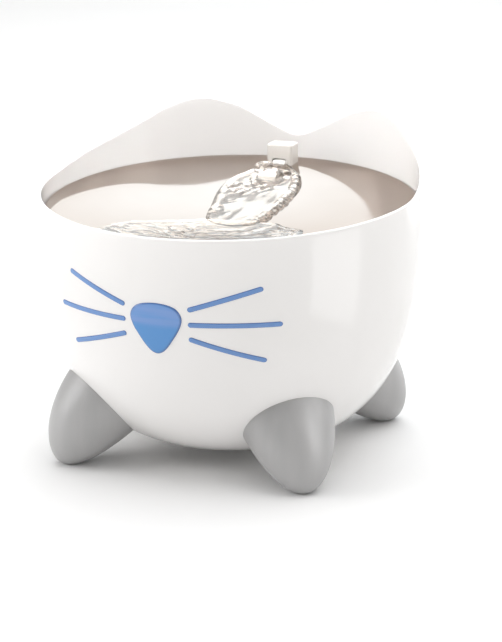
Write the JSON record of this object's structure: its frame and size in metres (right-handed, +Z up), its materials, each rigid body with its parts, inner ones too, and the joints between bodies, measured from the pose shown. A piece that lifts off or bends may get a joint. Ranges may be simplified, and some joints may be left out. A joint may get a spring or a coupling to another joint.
{
  "type": "pet water fountain",
  "caption": "Cat-shaped pet water fountain: a white bowl with ears, whiskers and round feet, a steel dish with a spout, and a pump and filter inside.",
  "frame": {"origin": "on the floor, under the centre of the bowl", "axes": "+Z up, -Y toward the cat's nose, +Y toward its ears, +X to the right when facing the nose"},
  "size_m": [0.23, 0.2301, 0.1919],
  "materials": {
    "white_abs": "injection-moulded white ABS, polished",
    "blue_lens": "translucent blue acrylic",
    "blue_inlay": "moulded blue inlay, satin",
    "foot_silver": "moulded plastic with a silver satin lacquer",
    "steel": "stamped stainless steel, polished",
    "spout_abs": "white ABS",
    "grey_pp": "moulded grey polypropylene",
    "white_pp": "moulded white polypropylene",
    "black_abs": "moulded black ABS",
    "black_rubber": "black rubber",
    "rubber_grey": "pale grey silicone rubber",
    "clear_silicone": "translucent silicone rubber",
    "core_steel": "laminated steel sheet",
    "copper": "enamelled copper wire",
    "black_resin": "cast black epoxy",
    "ceramic": "polished alumina ceramic",
    "ferrite": "sintered ferrite magnet",
    "foam": "open-cell foam",
    "carbon_felt": "felt pad filled with carbon grains",
    "water": "clear water"
  },
  "bodies": {
    "reservoir": {"bowl": "white_abs", "nose_lens": "blue_lens", "whisker_right_upper": "blue_inlay", "whisker_right_middle": "blue_inlay", "whisker_right_lower": "blue_inlay", "whisker_left_upper": "blue_inlay", "whisker_left_middle": "blue_inlay", "whisker_left_lower": "blue_inlay", "foot_front_right": "foot_silver", "foot_front_left": "foot_silver", "foot_rear_right": "foot_silver", "foot_rear_left": "foot_silver", "cable_grommet": "rubber_grey"},
    "pump_unit": {"pump_housing": "grey_pp", "housing_lid": "grey_pp", "level_light": "blue_lens", "suction_cups": "clear_silicone", "pump_shell": "black_abs", "stator_core": "core_steel", "winding": "copper", "sealing_resin": "black_resin", "cable_gland": "black_rubber", "volute_cover": "black_abs", "cover_seal": "black_rubber", "intake_strainer": "black_abs", "ceramic_shaft": "ceramic", "front_bush": "rubber_grey", "rear_bush": "rubber_grey", "riser_tube": "clear_silicone"},
    "filter": {"filter_frame": "white_pp", "filter_foam": "foam", "filter_carbon": "carbon_felt"},
    "rotor": {"impeller": "white_pp", "rotor_magnet": "ferrite"},
    "dish": {"drinking_dish": "steel", "spout_grommet": "clear_silicone", "water_pool": "water", "water_stream": "water"},
    "spout_cap": {"spout": "spout_abs"}
  },
  "joints": [
    {"name": "unit_lift", "type": "slide", "parent": "reservoir", "child": "pump_unit", "axis": [0, 0, 1], "range_m": [0, 0.1]},
    {"name": "dish_lift", "type": "slide", "parent": "pump_unit", "child": "dish", "axis": [0, 0, 1], "range_m": [0, 0.12]},
    {"name": "spout_lift", "type": "slide", "parent": "dish", "child": "spout_cap", "axis": [0, 0, 1], "range_m": [0, 0.035]},
    {"name": "filter_slide", "type": "slide", "parent": "pump_unit", "child": "filter", "axis": [0, -1, 0], "range_m": [0, 0.025]},
    {"name": "impeller_spin", "type": "hinge", "parent": "pump_unit", "child": "rotor", "pos_m": [0, 0.02, 0.038], "axis": [0, -1, 0], "continuous": true}
  ]
}
